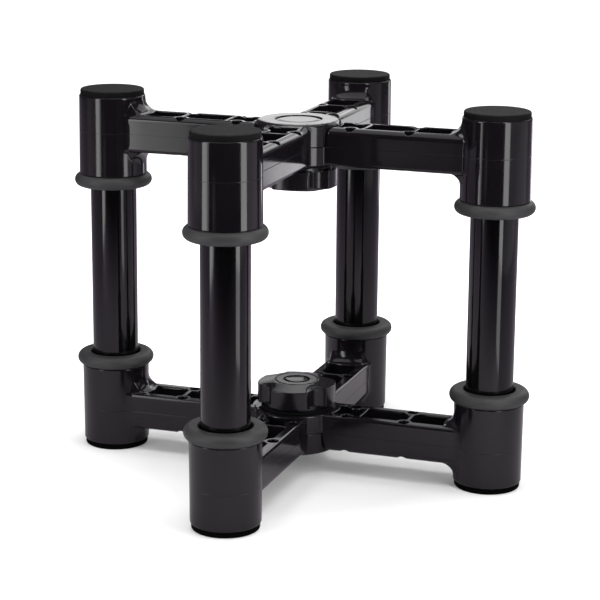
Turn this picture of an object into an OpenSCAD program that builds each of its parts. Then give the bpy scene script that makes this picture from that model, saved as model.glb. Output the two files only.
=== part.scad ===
// Monitor isolation stand: two flat scissor frames, the lower one flipped, joined by four posts.
// Each frame is two moulded arms, half lapped at a hub and clamped there by a hand knob.
// Each arm ends in two cups, which hold the posts in rubber isolators.
// Millimetres, +Z up, origin on the floor below the pivot axis, front towards -Y.
// Every frame height is measured from the frame's outer plane, which is the floor for the lower one.

/* [Overall] */
// Height from the floor to the top of the pads
stand_h = 204; // [170:1:300]
// Distance from the pivot axis to each post's axis
arm_reach = 109; // [105:0.5:140]
// Angle between the front halves of the two arms of a frame
cross_angle = 90; // [80:1:100]

/* [Pads and feet] */
// Width of the cup's rim round a pad
pad_rim = 0.6; // [0.5:0.1:2]
// Height that a pad stands out of its cup
pad_t = 3; // [2:0.1:5]
// Depth of the shallow seat for the pad in the end of the cup
pad_seat = 0.5; // [0.2:0.1:1]
// Radial clearance between a pad and its seat
pad_clear = 0.1; // [0.05:0.05:0.2]

/* [Cups] */
// Radius of a cup at its mouth
cup_r = 18.65; // [18.4:0.05:22]
// How much slimmer the cup is at its closed end
cup_draft = 0.35; // [0:0.05:0.4]
// Height of a cup
cup_h = 43.6; // [38:0.1:50]
// Thickness of the cup's closed end
cup_floor = 4; // [3:0.1:6]
// Round along the edge of the closed end
cup_round = 0.5; // [0.2:0.1:0.5]
// Wall of the cup at its mouth
cup_wall = 2.4; // [1.6:0.1:3]

/* [Arms] */
// Width of an arm
arm_w = 26; // [22:0.5:30]
// Height of an arm
arm_h = 20.4; // [16:0.2:24]
// Height of the arm's middle above the cup's closed end
arm_rise = 19.8; // [17:0.1:24]
// Round along the long edges of an arm
arm_round = 2; // [0.5:0.1:3]
// Thickness of the side rails
rail_t = 5.2; // [3:0.1:7]
// Thickness of the level web between the rails
web_t = 3; // [2:0.1:5]
// Thickness of the cross ribs
rib_t = 1.8; // [1:0.1:3]
// Distance of the first cross rib from the pivot axis
inner_rib = 38.6; // [37.5:0.1:46]
// Distance of the second cross rib from the pivot axis
outer_rib = 65.5; // [60:0.1:68]
// Wall left round a cup where the channel ends
cup_collar = 5.4; // [3:0.1:8]
// Wall left round the hub where the channel starts
hub_collar = 1.6; // [1:0.1:4]
// Radius of the hollow that runs from the cup's wall onto the top and the bottom of the arm
saddle_r = 5; // [2:0.1:6]

/* [Bosses] */
// Outer radius of a screw boss
boss_r = 4.4; // [3.8:0.1:4.8]
// Radius of the blind hole in a boss
boss_hole_r = 2.9; // [1.5:0.1:3]
// Depth of that hole
boss_hole_depth = 6; // [3:0.5:8]
// Distance of a boss centre from the side of the arm
boss_inset = 4.4; // [4:0.1:5]
// Distance of the inner bosses from the pivot axis
inner_boss = 32; // [30.5:0.1:34]
// Distance of the outer bosses from the pivot axis
outer_boss = 64.4; // [58:0.1:70]

/* [Hub] */
// Radius of the hub
hub_r = 23; // [22:0.1:26]
// How far the hub's disc stands out of the outer arm
hub_rise = 1.9; // [1:0.1:3]
// Round along the edge of that disc
hub_round = 1.6; // [0.5:0.1:1.6]
// Radius of the cap over the bolt head
cap_r = 12.5; // [10:0.1:14]
// Thickness of the cap
cap_t = 2.6; // [1.5:0.1:3]
// How far the cap lies below the disc's face
cap_sink = 0.3; // [0.1:0.1:0.6]
// Width of the groove round the cap
cap_groove = 2; // [1:0.1:3]
// Depth of that groove
cap_groove_depth = 1.2; // [0.5:0.1:1.5]
// Gap between the two halves of the lap
lap_gap = 0.2; // [0.1:0.05:0.4]
// Radial clearance round a hub where the other arm is cut back
lap_clear = 0.4; // [0.3:0.05:0.6]

/* [Pivot bolt] */
// Radius of the bolt
bolt_r = 4; // [3:0.5:5]
// Width of the bolt's hexagon head across its flats
bolt_head_w = 13; // [12.5:0.5:17]
// Height of the bolt's head
bolt_head_h = 5.3; // [4:0.1:6]
// Clearance of the head in its pocket, on each side
head_clear = 0.15; // [0.1:0.05:0.3]
// Radial running clearance of the bolt
run_clear = 0.05; // [0.03:0.01:0.08]
// Radius of the clamp washer below the knob
washer_r = 19.5; // [16:0.1:21]
// Thickness of that washer
washer_t = 1.6; // [1:0.1:3]

/* [Knob] */
// Radius over the knob's lobes
knob_r = 21.5; // [21.5:0.1:24]
// Height of the lobes' outer wall
knob_wall_h = 9.9; // [8:0.1:14]
// How far the knob's middle rises above the edge of the lobes
knob_rise = 2.1; // [1:0.1:3]
// Radius of the knob's level middle
knob_top_r = 11.8; // [10:0.1:14]
// Radius of the skirt under the lobes
skirt_r = 18.5; // [14:0.1:19]
// Height of that skirt
skirt_h = 1.6; // [1:0.1:3]
// Number of lobes
lobes = 4; // [3:1:6]
// Radius of the grooves between the lobes
scallop_r = 7.1; // [5:0.1:7.5]
// Depth of those grooves from the lobes' radius
scallop_depth = 4; // [2:0.1:4.5]
// Width of the bevel round the top of a groove for each millimetre of its height
scallop_bevel = 1.2; // [0.5:0.1:2]
// Direction of the first groove, from the front towards the right
scallop_turn = 7; // [0:1:90]
// Wall of the threaded insert
insert_wall = 2; // [1:0.1:2.5]
// Length of the insert
insert_h = 9.5; // [6:0.1:10]
// Length of bolt thread held in the knob
thread_grip = 8.6; // [5:0.1:9]
// Radius of the button in the knob's middle
button_r = 6.3; // [6:0.1:7]
// Gap round the button
button_gap = 0.9; // [0.3:0.1:1.2]
// Depth of the recess that holds the button
button_seat = 1.6; // [1:0.1:2]
// How far the button's dome rises above the knob
button_rise = 0.4; // [0.1:0.1:1]

/* [Posts] */
// Outer radius of a post's tube
tube_r = 12.7; // [11:0.1:13.5]
// Wall of the tube
tube_wall = 2.6; // [1.5:0.1:3]

/* [Isolators] */
// How far the isolator's ring stands out past the cup
ring_over = 2.75; // [1:0.05:4]
// Height of the ring
ring_h = 6.9; // [4:0.1:8]
// Height of the slim neck between the cup and the ring
neck_h = 0.7; // [0.4:0.1:3]
// Gap between the tube and the lip of the ring
lip_gap = 1.2; // [0.5:0.1:2]
// Depth of that gap below the ring's top
lip_depth = 5; // [2:0.1:6]
// Thickness of rubber under the end of the tube
iso_floor = 2.8; // [1.5:0.1:5]
// Radial clearance of the rubber in the cup and on the tube
rubber_clear = 0.05; // [0.02:0.01:0.1]

/* [Hidden] */
$fn = 96;

// The outer arm runs from front left to back right, and the inner one from front right to back left.
outer_turn = -90 - cross_angle / 2;
inner_turn = -90 + cross_angle / 2;
front_left = outer_turn;
back_right = outer_turn + 180;
front_right = inner_turn;
back_left = inner_turn + 180;

// Heights along a frame, from its outer plane inwards
cup_z = pad_t;
cup_inside_z = cup_z + cup_floor;
mouth_z = cup_z + cup_h;
arm_mid = cup_z + arm_rise;
arm_low = arm_mid - arm_h / 2;
arm_high = arm_mid + arm_h / 2;
disc_z = arm_low - hub_rise;
lap_low = arm_mid - lap_gap / 2;
lap_high = arm_mid + lap_gap / 2;
cap_z = disc_z + cap_sink;
head_z = cap_z + cap_t;
bolt_seat_z = head_z + bolt_head_h;
washer_z = arm_high;
knob_z = washer_z + washer_t;
lobe_z = knob_z + skirt_h;
knob_edge_z = lobe_z + knob_wall_h;
knob_top_z = knob_edge_z + knob_rise;
button_z = knob_top_z - button_seat;
bolt_end_z = knob_z + thread_grip;
tube_z = cup_inside_z + iso_floor;
ring_z = mouth_z + neck_h;

// Radii and widths that follow from the sizes above
cup_end_r = cup_r - cup_draft;
pad_seat_r = cup_end_r - pad_rim;
pad_r = pad_seat_r - pad_clear;
ring_r = cup_r + ring_over;
insert_r = bolt_r + insert_wall;
boss_side = arm_w / 2 - boss_inset;
cup_bore_r = cup_r - cup_wall;
sleeve_r = cup_bore_r - rubber_clear;
tube_hole_r = tube_r + rubber_clear;
channel_w = arm_w - 2 * rail_t;
channel_depth = (arm_h - web_t) / 2;
channel_start = hub_r + hub_collar;
post_wall_r = cup_r + cup_collar;
recess_r = button_r + button_gap;
cut = 1;

moulding = [0.11, 0.1, 0.115];
post_black = [0.09, 0.08, 0.095];
rubber_grey = [0.22, 0.22, 0.22];
foam_black = [0.13, 0.13, 0.12];
zinc = [0.72, 0.73, 0.75];
brass = [0.8, 0.65, 0.35];

// Places a piece of the upper frame, which is the lower frame flipped upside down
module flipped() {
    translate([0, 0, stand_h])
        mirror([0, 0, 1])
            children();
}

// Moves a piece from the pivot axis out to a post
module at_post(direction) {
    rotate([0, 0, direction])
        translate([arm_reach, 0, 0])
            children();
}

// A level plate of any plan, between two heights
module slab(low, high) {
    translate([0, 0, low])
        linear_extrude(high - low)
            children();
}

// Section across an arm, with its four long edges rounded
module arm_section() {
    square([arm_w - 2 * arm_round, arm_h], center = true);
    square([arm_w, arm_h - 2 * arm_round], center = true);
    for (side = [-1, 1], level = [-1, 1])
        translate([side * (arm_w / 2 - arm_round), level * (arm_h / 2 - arm_round)])
            circle(arm_round, $fn = 48);
}

// The straight beam from cup to cup
module beam() {
    translate([-arm_reach, 0, arm_mid])
        rotate([90, 0, 90])
            linear_extrude(2 * arm_reach)
                arm_section();
}

// Half profile of a cup, closed at the bottom, with a rounded edge and a little draft
module cup_profile() {
    translate([0, cup_z])
        polygon([
            [0, 0], [cup_end_r - cup_round, 0],
            for (a = [15:15:75]) [
                cup_end_r - cup_round + cup_round * sin(a), cup_round - cup_round * cos(a)
            ],
            [cup_end_r, cup_round], [cup_r, cup_h], [0, cup_h]
        ]);
}

// Radius of the cup's drafted wall at a height
function wall_r(z) = cup_r - cup_draft * (mouth_z - z) / (cup_h - cup_round);

// Half profile of the hollow that joins a cup's wall to the face of the arm
module saddle_profile(face_z, side) {
    foot_r = wall_r(face_z);
    polygon([
        [foot_r - cup_wall / 2, face_z - side * arm_round],
        [foot_r + saddle_r, face_z - side * arm_round],
        for (a = [0:15:90]) [
            foot_r + saddle_r - saddle_r * sin(a), face_z + side * (saddle_r - saddle_r * cos(a))
        ],
        [foot_r - cup_wall / 2, face_z + side * saddle_r]
    ]);
}

// The hollows of one cup, on the top and the bottom of the arm, as wide as the arm's level faces
module saddles() {
    level_w = arm_w - 2 * arm_round;
    intersection() {
        union() {
            rotate_extrude()
                saddle_profile(arm_high, 1);
            rotate_extrude()
                saddle_profile(arm_low, -1);
        }
        translate([-cup_r - saddle_r, -level_w / 2, cup_z])
            cube([cup_r + saddle_r, level_w, cup_h]);
    }
}

// Centres of the four bosses on one half of an arm
module boss_places() {
    for (along = [inner_boss, outer_boss], side = [-1, 1])
        translate([along, side * boss_side])
            children();
}

// Plan of the channel on one half of an arm: what stays between the rails is ribs and bosses
module channel_plan() {
    difference() {
        translate([0, -channel_w / 2])
            square([arm_reach, channel_w]);
        circle(channel_start);
        translate([arm_reach, 0])
            circle(post_wall_r);
        for (along = [inner_rib, outer_rib])
            translate([along - rib_t / 2, -arm_w / 2])
                square([rib_t, arm_w]);
        boss_places()
            circle(boss_r, $fn = 48);
    }
}

// The channels of both halves, open at the top and the bottom of the arm, with the web between them
module channels() {
    for (half = [0, 180])
        rotate([0, 0, half]) {
            slab(arm_low - cut, arm_low + channel_depth)
                channel_plan();
            slab(arm_high - channel_depth, arm_high + cut)
                channel_plan();
        }
}

// Blind holes in the bosses, from the top and the bottom of the arm
module boss_holes() {
    for (half = [0, 180])
        rotate([0, 0, half])
            boss_places() {
                translate([0, 0, arm_low - cut])
                    cylinder(h = boss_hole_depth + cut, r = boss_hole_r, $fn = 48);
                translate([0, 0, arm_high - boss_hole_depth])
                    cylinder(h = boss_hole_depth + cut, r = boss_hole_r, $fn = 48);
            }
}

// What is bored out of each cup: the seat of its pad and the room for its isolator
module cup_bores() {
    for (half = [0, 180])
        at_post(half) {
            translate([0, 0, cup_z - cut])
                cylinder(h = pad_seat + cut, r = pad_seat_r);
            translate([0, 0, cup_inside_z])
                cylinder(h = mouth_z - cup_inside_z + cut, r = cup_bore_r);
        }
}

// An arm before the hub is cut to its lap
module arm_blank() {
    beam();
    for (half = [0, 180])
        at_post(half) {
            rotate_extrude()
                cup_profile();
            saddles();
        }
}

// Half profile of the outer arm's disc, with its edge rounded
module disc_profile() {
    polygon([
        [0, disc_z], [hub_r - hub_round, disc_z],
        for (a = [15:15:75]) [
            hub_r - hub_round + hub_round * sin(a), disc_z + hub_round - hub_round * cos(a)
        ],
        [hub_r, disc_z + hub_round], [hub_r, lap_low], [0, lap_low]
    ]);
}

// Outer arm: its hub is the outer half of the lap, with the disc, the cap's seat and the bolt's pocket
module outer_arm() {
    difference() {
        union() {
            arm_blank();
            rotate_extrude()
                disc_profile();
        }
        channels();
        boss_holes();
        cup_bores();
        translate([0, 0, lap_low])
            cylinder(h = arm_h, r = hub_r + lap_clear);
        translate([0, 0, disc_z - cut])
            cylinder(h = cap_groove_depth + cut, r = cap_r + cap_groove);
        translate([0, 0, disc_z - cut])
            cylinder(h = head_z - disc_z + cut, r = cap_r + run_clear);
        translate([0, 0, head_z - cut])
            cylinder(h = bolt_head_h + cut, r = (bolt_head_w / 2 + head_clear) / cos(30), $fn = 6);
        translate([0, 0, bolt_seat_z - cut])
            cylinder(h = arm_h, r = bolt_r + run_clear);
    }
}

// Inner arm: its hub is the inner half of the lap, which the washer and the knob press on
module inner_arm() {
    difference() {
        union() {
            arm_blank();
            translate([0, 0, lap_high])
                cylinder(h = arm_high - lap_high, r = hub_r);
        }
        channels();
        boss_holes();
        cup_bores();
        translate([0, 0, lap_high - arm_h])
            cylinder(h = arm_h, r = hub_r + lap_clear);
        translate([0, 0, lap_high - cut])
            cylinder(h = arm_h, r = bolt_r + run_clear);
    }
}

// Round cap that hides the bolt's head in the middle of the disc
module hub_cap() {
    translate([0, 0, cap_z])
        cylinder(h = cap_t, r = cap_r);
}

// Hexagon bolt that is the pivot of a frame
module pivot_bolt() {
    translate([0, 0, head_z])
        cylinder(h = bolt_head_h, r = bolt_head_w / 2 / cos(30), $fn = 6);
    translate([0, 0, bolt_seat_z])
        cylinder(h = bolt_end_z - bolt_seat_z, r = bolt_r);
}

// Plain washer between the inner arm and the knob
module clamp_washer() {
    translate([0, 0, washer_z])
        difference() {
            cylinder(h = washer_t, r = washer_r);
            translate([0, 0, -cut])
                cylinder(h = washer_t + 2 * cut, r = bolt_r + run_clear);
        }
}

// The grooves between the knob's lobes, each with a bevel that opens above the edge of the lobes
module scallops() {
    bevel_h = knob_rise + cut;
    for (i = [0:lobes - 1])
        rotate([0, 0, scallop_turn - 90 + i * 360 / lobes])
            translate([knob_r - scallop_depth + scallop_r, 0]) {
                translate([0, 0, lobe_z - cut])
                    cylinder(h = knob_wall_h + cut, r = scallop_r);
                translate([0, 0, knob_edge_z])
                    cylinder(h = bevel_h, r1 = scallop_r, r2 = scallop_r + scallop_bevel * bevel_h);
            }
}

// Lobed hand knob with a skirt, a raised middle and a recess for its button
module hand_knob() {
    difference() {
        union() {
            translate([0, 0, knob_z])
                cylinder(h = skirt_h, r = skirt_r);
            difference() {
                translate([0, 0, lobe_z]) {
                    cylinder(h = knob_wall_h, r = knob_r);
                    translate([0, 0, knob_wall_h])
                        cylinder(h = knob_rise, r1 = knob_r, r2 = knob_top_r);
                }
                scallops();
            }
        }
        translate([0, 0, knob_z - cut])
            cylinder(h = insert_h + cut, r = insert_r + run_clear);
        translate([0, 0, button_z])
            cylinder(h = button_seat + cut, r = recess_r);
    }
}

// Threaded sleeve moulded into the knob
module knob_insert() {
    translate([0, 0, knob_z])
        difference() {
            cylinder(h = insert_h, r = insert_r);
            translate([0, 0, -cut])
                cylinder(h = insert_h + 2 * cut, r = bolt_r + run_clear);
        }
}

// Domed button that closes the knob's recess
module knob_button() {
    dome_h = button_seat + button_rise;
    dome_r = (button_r * button_r + button_rise * button_rise) / (2 * button_rise);
    translate([0, 0, button_z])
        intersection() {
            cylinder(h = dome_h, r = button_r);
            translate([0, 0, dome_h - dome_r])
                sphere(dome_r, $fn = 180);
        }
}

// Post: a plain tube whose ends stand on the rubber floors of its two isolators
module post_tube() {
    difference() {
        translate([0, 0, tube_z])
            cylinder(h = stand_h - 2 * tube_z, r = tube_r);
        translate([0, 0, tube_z - cut])
            cylinder(h = stand_h - 2 * tube_z + 2 * cut, r = tube_r - tube_wall);
    }
}

// Half profile of the isolator: a closed sleeve in the cup and a round-edged ring outside it
module isolator_profile() {
    ring_round = ring_h / 2;
    polygon([
        [0, cup_inside_z], [sleeve_r, cup_inside_z], [sleeve_r, ring_z],
        [ring_r - ring_round, ring_z],
        for (a = [15:15:165]) [
            ring_r - ring_round + ring_round * sin(a), ring_z + ring_round - ring_round * cos(a)
        ],
        [ring_r - ring_round, ring_z + ring_h], [tube_r + lip_gap, ring_z + ring_h],
        [tube_r + lip_gap, ring_z + ring_h - lip_depth],
        [tube_hole_r, ring_z + ring_h - lip_depth], [tube_hole_r, tube_z], [0, tube_z]
    ]);
}

// Rubber isolator that holds the end of a post in a cup
module isolator() {
    rotate_extrude()
        isolator_profile();
}

// Round pad glued into the shallow seat in the end of a cup
module pad() {
    cylinder(h = pad_t + pad_seat, r = pad_r);
}

module lower_outer_arm() { color(moulding) rotate([0, 0, outer_turn]) outer_arm(); }
module lower_inner_arm() { color(moulding) rotate([0, 0, inner_turn]) inner_arm(); }
module upper_outer_arm() { color(moulding) flipped() rotate([0, 0, outer_turn]) outer_arm(); }
module upper_inner_arm() { color(moulding) flipped() rotate([0, 0, inner_turn]) inner_arm(); }
module front_left_tube() { color(post_black) at_post(front_left) post_tube(); }
module front_right_tube() { color(post_black) at_post(front_right) post_tube(); }
module back_left_tube() { color(post_black) at_post(back_left) post_tube(); }
module back_right_tube() { color(post_black) at_post(back_right) post_tube(); }
module lower_front_left_isolator() { color(rubber_grey) at_post(front_left) isolator(); }
module lower_front_right_isolator() { color(rubber_grey) at_post(front_right) isolator(); }
module lower_back_left_isolator() { color(rubber_grey) at_post(back_left) isolator(); }
module lower_back_right_isolator() { color(rubber_grey) at_post(back_right) isolator(); }
module upper_front_left_isolator() { color(rubber_grey) flipped() at_post(front_left) isolator(); }
module upper_front_right_isolator() { color(rubber_grey) flipped() at_post(front_right) isolator(); }
module upper_back_left_isolator() { color(rubber_grey) flipped() at_post(back_left) isolator(); }
module upper_back_right_isolator() { color(rubber_grey) flipped() at_post(back_right) isolator(); }
module front_left_foot() { color(foam_black) at_post(front_left) pad(); }
module front_right_foot() { color(foam_black) at_post(front_right) pad(); }
module back_left_foot() { color(foam_black) at_post(back_left) pad(); }
module back_right_foot() { color(foam_black) at_post(back_right) pad(); }
module front_left_pad() { color(foam_black) flipped() at_post(front_left) pad(); }
module front_right_pad() { color(foam_black) flipped() at_post(front_right) pad(); }
module back_left_pad() { color(foam_black) flipped() at_post(back_left) pad(); }
module back_right_pad() { color(foam_black) flipped() at_post(back_right) pad(); }
module lower_hub_cap() { color(moulding) hub_cap(); }
module upper_hub_cap() { color(moulding) flipped() hub_cap(); }
module lower_pivot_bolt() { color(zinc) rotate([0, 0, outer_turn]) pivot_bolt(); }
module upper_pivot_bolt() { color(zinc) flipped() rotate([0, 0, outer_turn]) pivot_bolt(); }
module lower_clamp_washer() { color(foam_black) clamp_washer(); }
module upper_clamp_washer() { color(foam_black) flipped() clamp_washer(); }
module lower_knob() { color(moulding) hand_knob(); }
module upper_knob() { color(moulding) flipped() hand_knob(); }
module lower_knob_insert() { color(brass) knob_insert(); }
module upper_knob_insert() { color(brass) flipped() knob_insert(); }
module lower_knob_button() { color(moulding) knob_button(); }
module upper_knob_button() { color(moulding) flipped() knob_button(); }

lower_outer_arm();
lower_inner_arm();
upper_outer_arm();
upper_inner_arm();
front_left_tube();
front_right_tube();
back_left_tube();
back_right_tube();
lower_front_left_isolator();
lower_front_right_isolator();
lower_back_left_isolator();
lower_back_right_isolator();
upper_front_left_isolator();
upper_front_right_isolator();
upper_back_left_isolator();
upper_back_right_isolator();
front_left_foot();
front_right_foot();
back_left_foot();
back_right_foot();
front_left_pad();
front_right_pad();
back_left_pad();
back_right_pad();
lower_hub_cap();
upper_hub_cap();
lower_pivot_bolt();
upper_pivot_bolt();
lower_clamp_washer();
upper_clamp_washer();
lower_knob();
upper_knob();
lower_knob_insert();
upper_knob_insert();
lower_knob_button();
upper_knob_button();
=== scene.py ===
import math

import bpy
import numpy as np
import openvdb
from mathutils import Matrix, Vector


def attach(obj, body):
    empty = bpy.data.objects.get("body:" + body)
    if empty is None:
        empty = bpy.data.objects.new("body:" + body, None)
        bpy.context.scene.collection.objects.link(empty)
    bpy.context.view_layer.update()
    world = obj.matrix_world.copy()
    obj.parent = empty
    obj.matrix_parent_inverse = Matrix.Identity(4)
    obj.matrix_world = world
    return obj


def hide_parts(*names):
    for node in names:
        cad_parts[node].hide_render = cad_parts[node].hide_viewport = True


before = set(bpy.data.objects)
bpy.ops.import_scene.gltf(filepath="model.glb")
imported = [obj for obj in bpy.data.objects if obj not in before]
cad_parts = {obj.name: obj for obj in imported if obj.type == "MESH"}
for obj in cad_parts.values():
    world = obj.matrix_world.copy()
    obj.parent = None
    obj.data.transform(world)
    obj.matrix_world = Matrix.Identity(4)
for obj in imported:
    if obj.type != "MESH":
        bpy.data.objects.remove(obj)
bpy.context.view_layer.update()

# Camera: a long lens a metre away, a little to the left of the front and looking slightly down.
camera_data = bpy.data.cameras.new("camera")
camera_data.lens = 120.54
camera_data.sensor_width = 36
camera_data.shift_y = -0.05
camera_data.clip_start = 0.01
camera_data.clip_end = 50
camera = bpy.data.objects.new("camera", camera_data)
camera_at = Vector((-0.46715, -0.95876, 0.36289))
camera_aim = Vector((0.0012, -0.00058, 0.10989))
camera_roll = math.radians(0.45)
level_view = (camera_aim - camera_at).to_track_quat("-Z", "Y").to_matrix().to_4x4()
rolled = Matrix.Rotation(camera_roll, 4, "Z")
camera.matrix_world = Matrix.Translation(camera_at) @ level_view @ rolled
bpy.context.scene.collection.objects.link(camera)
bpy.context.scene.camera = camera


# Arms. Each frame of the stand is two moulded arms, crossed and half lapped at the hub.
# An arm is one ABS moulding: a cup at each end, a beam cored out from above and below into
# cells with ribs and blind screw bosses, and half of the hub. Every corner has a mould fillet.
MM = 0.001
# Sizes are in millimetres, and heights are above the floor, in the lower frame. The upper frame is
# the lower one flipped upside down.
LEVELS = (("lower", False), ("upper", True))
STAND_H = 204.0
OUTER_TURN, INNER_TURN = -135.0, -45.0
ARM_REACH, ARM_HALF_W = 109.0, 13.0
ARM_LOW, ARM_MID, ARM_HIGH = 12.6, 22.8, 33.0
# The side that carries the disc has wide roundings, and the knob's side has small ones.
BEAM_ROUND_DISC_SIDE, BEAM_ROUND_KNOB_SIDE = 3.8, 1.5
EDGE_DISC_SIDE, EDGE_KNOB_SIDE = 1.2, 0.3
BEAM_RISE, RISE_FROM, RISE_TO = 1.5, 30.0, 20.0
# The cells run from the hub's wall to the cup's wall, with two ribs and two pairs of bosses.
CELL_HALF_W, CELL_HUB_R, CELL_POST_R, WEB_HALF_H = 7.8, 24.6, 24.05, 1.5
HUB_RIB_AT, HUB_RIB_HALF_W, HUB_RIB_BOW = 38.6, 0.9, 0.35
POST_RIB_AT, POST_RIB_HALF_W = 65.5, 1.0
BOSSES_AT, BOSS_SIDE, BOSS_R = (32.0, 64.4), 9.2, 4.7
BOSS_HOLE_R, BOSS_FLOOR_HALF_H = 2.85, 4.2
CUP_LOW, CUP_MOUTH = 3.0, 47.2
CUP_END_R, CUP_MOUTH_R = 18.3, 18.65
CUP_BORE_R, CUP_FLOOR_Z = 16.25, 7.0
PAD_SEAT_R, PAD_SEAT_DEPTH = 17.7, 0.5
# A saddle, which is a wide fillet, joins the beam's faces to the cup. It fades out towards the
# beam's middle height and its sides.
CUP_FILLET, SADDLE_FILLET = 1.5, 7.5
SADDLE_FADES_IN, SADDLE_FADES_OUT = (7.6, 10.2), (9.5, 12.5)
# The hub is half lapped, and has seats for the cap, the bolt and its head.
HUB_R, HUB_GAP, DISC_Z = 23.0, 0.4, 10.7
LAP_LOW, LAP_HIGH = 22.7, 22.9
CAP_R, CAP_BACK_Z = 12.5, 13.6
BOLT_R, SNUG_GAP = 4.0, 0.05
HEAD_SEAT_Z, HEAD_POCKET_HALF_W = 18.9, 6.65


def joined(a, b, fillet):
    """Distance to two solids together, with a hollow fillet where they meet."""
    return np.maximum(fillet, np.minimum(a, b)) - np.hypot(
        np.maximum(fillet - a, 0), np.maximum(fillet - b, 0)
    )


def shared(a, b, rounding):
    """Distance to what two solids share, with its edge rounded."""
    return np.minimum(-rounding, np.maximum(a, b)) + np.hypot(
        np.maximum(rounding + a, 0), np.maximum(rounding + b, 0)
    )


def eased(low, high, value):
    """0 below low, 1 above high and a smooth ramp between."""
    t = np.clip((value - low) / (high - low), 0, 1)
    return t * t * (3 - 2 * t)


def hexagon(x, y, half_w):
    """Distance to a hexagon of a given half width across its flats."""
    return np.maximum(y, x * math.cos(math.pi / 6) + y / 2) - half_w


def beam(x, y, z, rise):
    """The straight bar from cup to cup; its edges on the disc's side are rounded more, and there
    it rises to meet the disc."""
    rounding = np.where(z < ARM_MID, BEAM_ROUND_DISC_SIDE, BEAM_ROUND_KNOB_SIDE)
    to_disc = np.where(z < ARM_MID, rise * (1 - eased(RISE_TO, RISE_FROM, np.hypot(x, y))), 0)
    across = np.abs(y) - (ARM_HALF_W - rounding)
    level = np.abs(z - ARM_MID) - (ARM_HIGH - ARM_MID + to_disc - rounding)
    section = np.hypot(np.maximum(across, 0), np.maximum(level, 0)) + np.minimum(
        np.maximum(across, level), 0
    )
    return shared(section - rounding, x - ARM_REACH, 0.1)


def cells(x, y, z, hub_distance, post_distance):
    """The open cells of the beam, above and below its web."""
    plan = shared(np.abs(y) - CELL_HALF_W, CELL_HUB_R - hub_distance, 0.5)
    plan = shared(plan, CELL_POST_R - post_distance, 0.8)
    bow = HUB_RIB_BOW * (1 - (y / CELL_HALF_W) ** 2)
    plan = shared(plan, HUB_RIB_HALF_W - np.abs(x - HUB_RIB_AT - bow), 0.7)
    plan = shared(plan, POST_RIB_HALF_W - np.abs(x - POST_RIB_AT), 0.7)
    for boss in BOSSES_AT:
        plan = shared(plan, BOSS_R - np.hypot(x - boss, y - BOSS_SIDE), 0.5)
    return shared(plan, WEB_HALF_H - np.abs(z - ARM_MID), 0.8)


def arm_solid(x, y, z, is_outer):
    """Distance to an arm of the lower frame that lies along X, in millimetres. The last number of
    each joined or shared call is the radius of the fillet or edge that it leaves."""
    x, y = np.abs(x), np.abs(y)
    hub_distance = np.hypot(x, y)
    post_distance = np.hypot(x - ARM_REACH, y)
    off_middle = np.abs(z - ARM_MID)
    edge = np.where(z < ARM_MID, EDGE_DISC_SIDE, EDGE_KNOB_SIDE)

    wall = CUP_END_R + (CUP_MOUTH_R - CUP_END_R) * (z - CUP_LOW) / (CUP_MOUTH - CUP_LOW)
    half_height = (CUP_MOUTH - CUP_LOW) / 2
    cup = shared(post_distance - wall, np.abs(z - CUP_LOW - half_height) - half_height, edge)
    saddle = eased(*SADDLE_FADES_IN, off_middle) * (1 - eased(*SADDLE_FADES_OUT, y))
    solid = joined(
        beam(x, y, z, BEAM_RISE if is_outer else 0.0), cup,
        CUP_FILLET + (SADDLE_FILLET - CUP_FILLET) * saddle,
    )

    if is_outer:
        hub = shared(hub_distance - HUB_R, np.maximum(DISC_Z - z, z - ARM_HIGH), 2.2)
        other_half = np.maximum(hub_distance - HUB_R - HUB_GAP, LAP_LOW - z)
        hub_fillet = 0.5
    else:
        hub = shared(hub_distance - HUB_R, np.maximum(ARM_LOW - z, z - ARM_HIGH), 0.5)
        other_half = np.maximum(hub_distance - HUB_R - HUB_GAP, z - LAP_HIGH)
        hub_fillet = 0.6
    solid = joined(solid, hub, hub_fillet)

    solid = shared(solid, -cells(x, y, z, hub_distance, post_distance), 0.4)
    for boss in BOSSES_AT:
        hole = np.hypot(x - boss, y - BOSS_SIDE) - BOSS_HOLE_R
        solid = shared(solid, -np.maximum(hole, BOSS_FLOOR_HALF_H - off_middle), 0.3)
    bore = shared(post_distance - CUP_BORE_R, CUP_FLOOR_Z - z, 0.5)
    solid = shared(solid, -bore, 0.3)
    pad_seat = np.maximum(post_distance - PAD_SEAT_R, z - CUP_LOW - PAD_SEAT_DEPTH)
    solid = shared(solid, -pad_seat, 0.15)
    solid = shared(solid, -other_half, 0.25 + edge * eased(3, 7, off_middle))
    solid = shared(solid, BOLT_R + SNUG_GAP - hub_distance, 0.2)
    if is_outer:
        cap_seat = np.maximum(hub_distance - CAP_R - SNUG_GAP, z - CAP_BACK_Z)
        solid = shared(solid, -cap_seat, 0.45)
        head_pocket = np.maximum(hexagon(x, y, HEAD_POCKET_HALF_W), z - HEAD_SEAT_Z)
        solid = np.maximum(solid, -head_pocket)
    return solid


def lie_of(solid, points):
    """Distance of points from a solid's surface, and the direction that leads away from it."""
    reach = 0.02
    ahead = []
    for axis in range(3):
        for sign in (1, -1):
            moved = points.copy()
            moved[:, axis] += sign * reach
            ahead.append(solid(*moved.T))
    slope = np.stack([ahead[0] - ahead[1], ahead[2] - ahead[3], ahead[4] - ahead[5]], 1)
    size = np.linalg.norm(slope, axis=1)
    size[size == 0] = 1
    return solid(*points.T), slope / size[:, None]


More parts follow.
